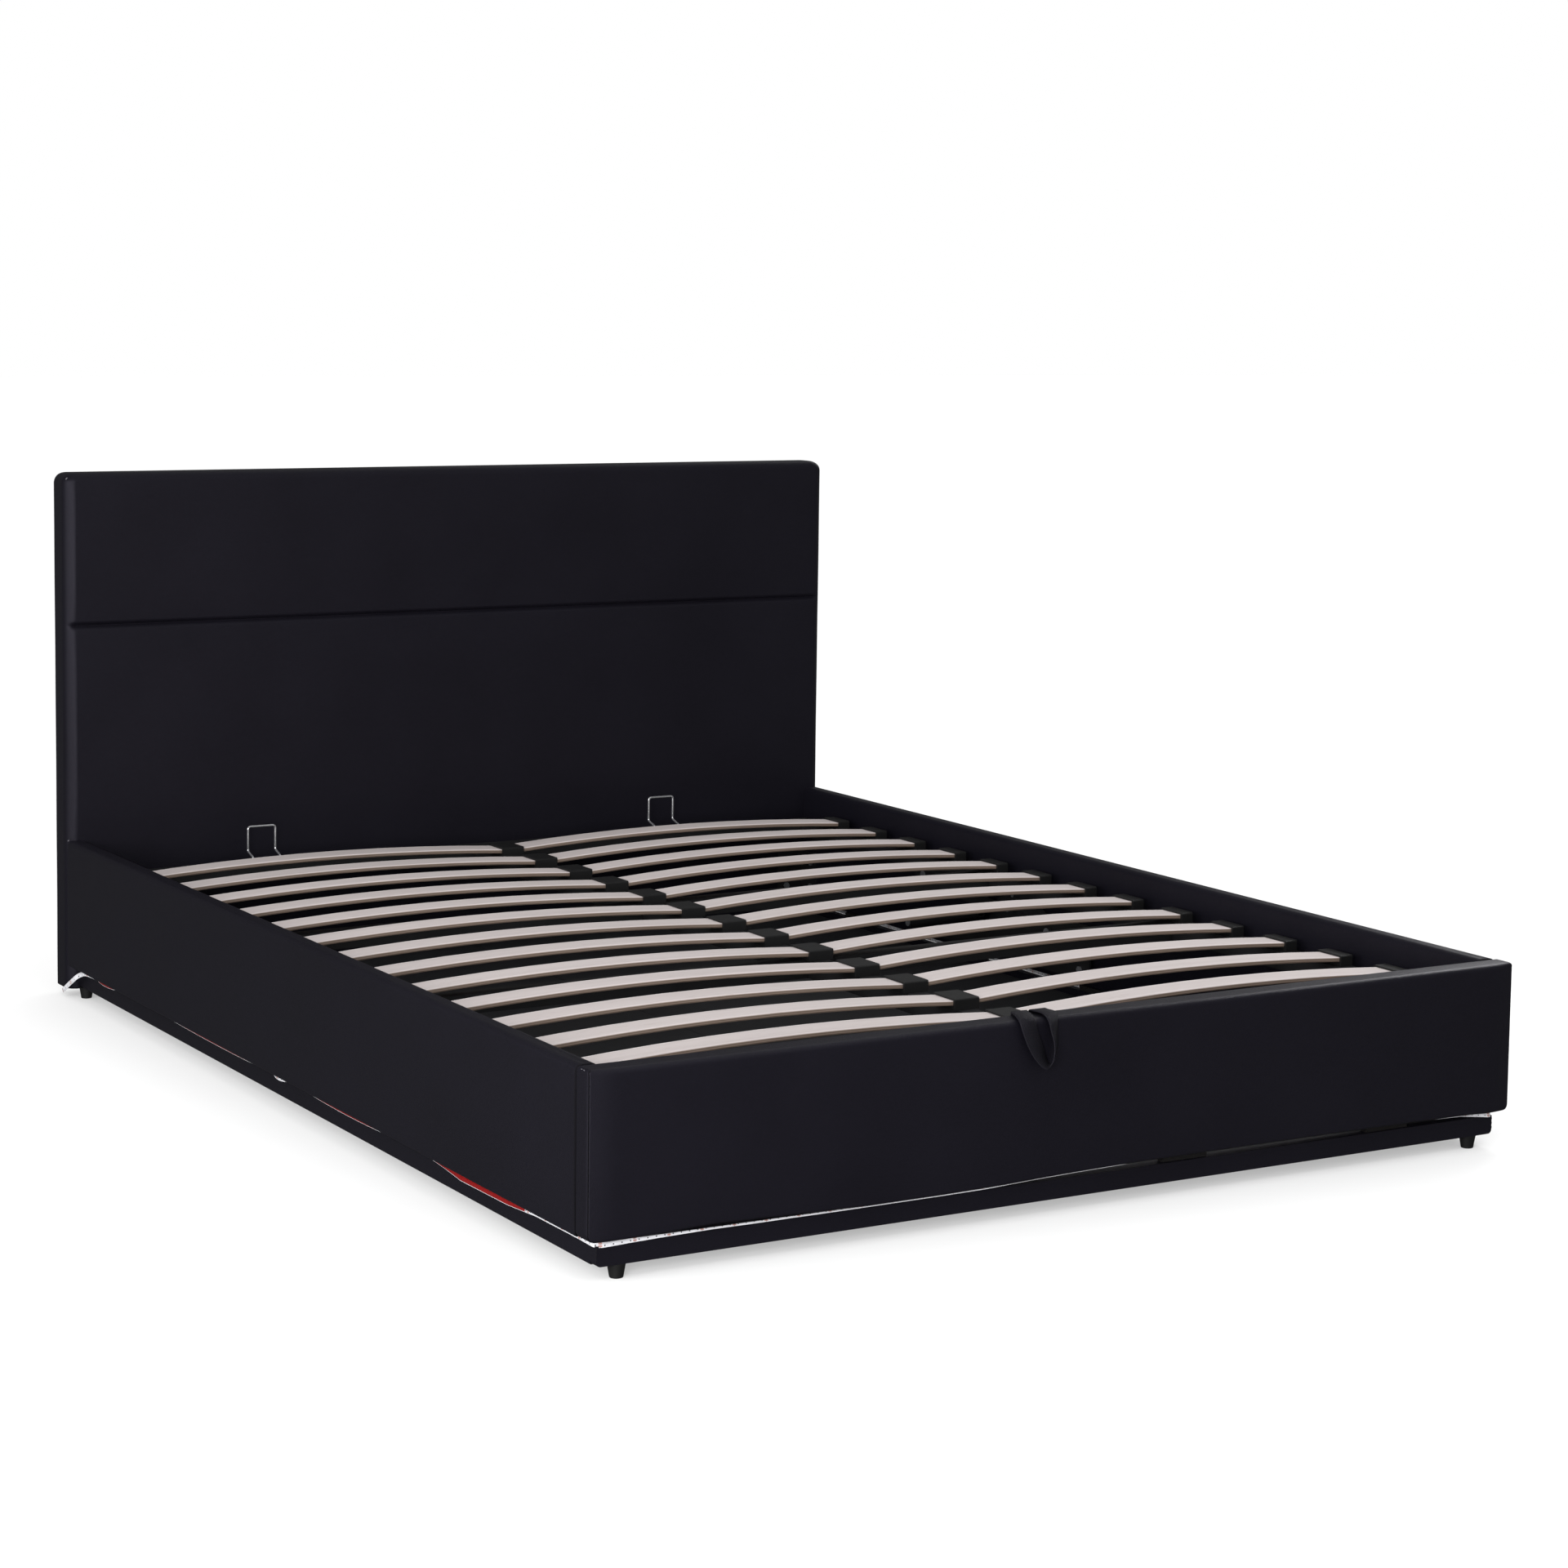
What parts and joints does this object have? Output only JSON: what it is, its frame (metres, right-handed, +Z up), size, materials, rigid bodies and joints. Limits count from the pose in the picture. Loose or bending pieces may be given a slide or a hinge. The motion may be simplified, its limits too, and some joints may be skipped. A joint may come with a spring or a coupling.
{
  "type": "storage bed",
  "caption": "Low upholstered storage bed with a padded panel headboard, a bowed-slat base on a gas-lift frame, a pull strap and an edge light strip.",
  "frame": {"origin": "middle of the bed's outline, strap included, on the floor", "axes": "+X across to the right seen from the foot, +Y from the foot to the headboard, +Z up"},
  "size_m": [1.6, 2.156, 0.96],
  "materials": {
    "upholstery": "black leather-look upholstery, fine grain, low sheen",
    "board": "plain board",
    "storage_board": "dark melamine board",
    "back_cloth": "black non-woven backing",
    "zinc": "zinc plated",
    "chrome": "bright plated",
    "birch": "pale birch veneer, satin",
    "black_plastic": "black moulded plastic",
    "white_strip": "white flexible circuit strip",
    "webbing": "black woven webbing",
    "rubber": "black rubber",
    "black_steel": "black powder coat"
  },
  "bodies": {
    "bed_base": {"headboard_upper_pad": "upholstery", "headboard_lower_pad": "upholstery", "headboard_board": "board", "headboard_back_cloth": "back_cloth", "rail_left_cover": "upholstery", "rail_right_cover": "upholstery", "rail_left_board": "board", "rail_right_board": "board", "foot_cover": "upholstery", "foot_board": "board", "corner_brackets": "black_steel", "corner_bolts": "zinc", "lift_base_bolts": "zinc", "lift_base_spacers": "zinc", "lift_base_left": "black_steel", "lift_base_right": "black_steel", "lift_base_pins": "zinc", "plinth_left": "upholstery", "plinth_right": "upholstery", "plinth_foot": "upholstery", "plinth_head": "upholstery", "plinth_spacers": "board", "light_strip": "white_strip", "floor_battens": "board", "floor_beam": "board", "storage_floor_left": "storage_board", "storage_floor_right": "storage_board", "feet": "black_plastic", "beam_feet": "black_plastic", "rest_pads": "rubber"},
    "lift_frame": {"frame_side_left": "black_steel", "frame_side_right": "black_steel", "frame_foot_tube": "black_steel", "frame_head_tube": "black_steel", "frame_centre_tube": "black_steel", "frame_cross_tubes": "black_steel", "slats_left": "birch", "slats_right": "birch", "slat_caps_left": "black_plastic", "slat_caps_right": "black_plastic", "slat_holders": "black_plastic", "mattress_retainers": "chrome", "pull_strap": "webbing", "lift_bracket_left": "black_steel", "lift_bracket_right": "black_steel", "lift_frame_pins": "zinc"},
    "front_arm_left": {"lift_arm_left": "black_steel", "strut_pin_left": "zinc"},
    "rear_link_left": {"lift_link_left": "black_steel"},
    "barrel_left": {"strut_barrel_left": "black_steel"},
    "rod_left": {"strut_rod_left": "chrome"},
    "front_arm_right": {"lift_arm_right": "black_steel", "strut_pin_right": "zinc"},
    "rear_link_right": {"lift_link_right": "black_steel"},
    "barrel_right": {"strut_barrel_right": "black_steel"},
    "rod_right": {"strut_rod_right": "chrome"}
  },
  "joints": [
    {"name": "lift_swing_left", "type": "hinge", "parent": "bed_base", "child": "front_arm_left", "pos_m": [-0.7525, 0.1194, 0.1415], "axis": [1, 0, 0], "range_deg": [0, 37.4]},
    {"name": "frame_tilt", "type": "hinge", "parent": "front_arm_left", "child": "lift_frame", "pos_m": [-0.7525, 0.5372, 0.1836], "axis": [1, 0, 0], "range_deg": [-75.27, 0.05]},
    {"name": "link_swing_left", "type": "hinge", "parent": "bed_base", "child": "rear_link_left", "pos_m": [-0.7615, 0.2397, 0.1917], "axis": [1, 0, 0], "range_deg": [-0.05, 44.32]},
    {"name": "barrel_swing_left", "type": "hinge", "parent": "bed_base", "child": "barrel_left", "pos_m": [-0.738, 0.558, 0.088], "axis": [1, 0, 0], "range_deg": [-6.81, 0.05]},
    {"name": "rod_swing_left", "type": "hinge", "parent": "front_arm_left", "child": "rod_left", "pos_m": [-0.738, 0.223, 0.173], "axis": [1, 0, 0], "range_deg": [-44.21, 0.05]},
    {"name": "lift_swing_right", "type": "hinge", "parent": "bed_base", "child": "front_arm_right", "pos_m": [0.7525, 0.1194, 0.1415], "axis": [1, 0, 0], "range_deg": [-0.05, 37.45]},
    {"name": "link_swing_right", "type": "hinge", "parent": "bed_base", "child": "rear_link_right", "pos_m": [0.7615, 0.2397, 0.1917], "axis": [1, 0, 0], "range_deg": [-0.05, 44.32]},
    {"name": "barrel_swing_right", "type": "hinge", "parent": "bed_base", "child": "barrel_right", "pos_m": [0.738, 0.558, 0.088], "axis": [1, 0, 0], "range_deg": [-6.81, 0.05]},
    {"name": "rod_swing_right", "type": "hinge", "parent": "front_arm_right", "child": "rod_right", "pos_m": [0.738, 0.223, 0.173], "axis": [1, 0, 0], "range_deg": [-44.21, 0.05]}
  ],
  "couplings": [
    {"joint": "frame_tilt", "follows": "lift_swing_left", "ratio": -2.0112},
    {"joint": "link_swing_left", "follows": "lift_swing_left", "ratio": 1.1837},
    {"joint": "barrel_swing_left", "follows": "lift_swing_left", "ratio": -0.18075},
    {"joint": "rod_swing_left", "follows": "lift_swing_left", "ratio": -1.1807},
    {"joint": "lift_swing_right", "follows": "lift_swing_left", "ratio": 1},
    {"joint": "link_swing_right", "follows": "lift_swing_left", "ratio": 1.1837},
    {"joint": "barrel_swing_right", "follows": "lift_swing_left", "ratio": -0.18075},
    {"joint": "rod_swing_right", "follows": "lift_swing_left", "ratio": -1.1807}
  ]
}
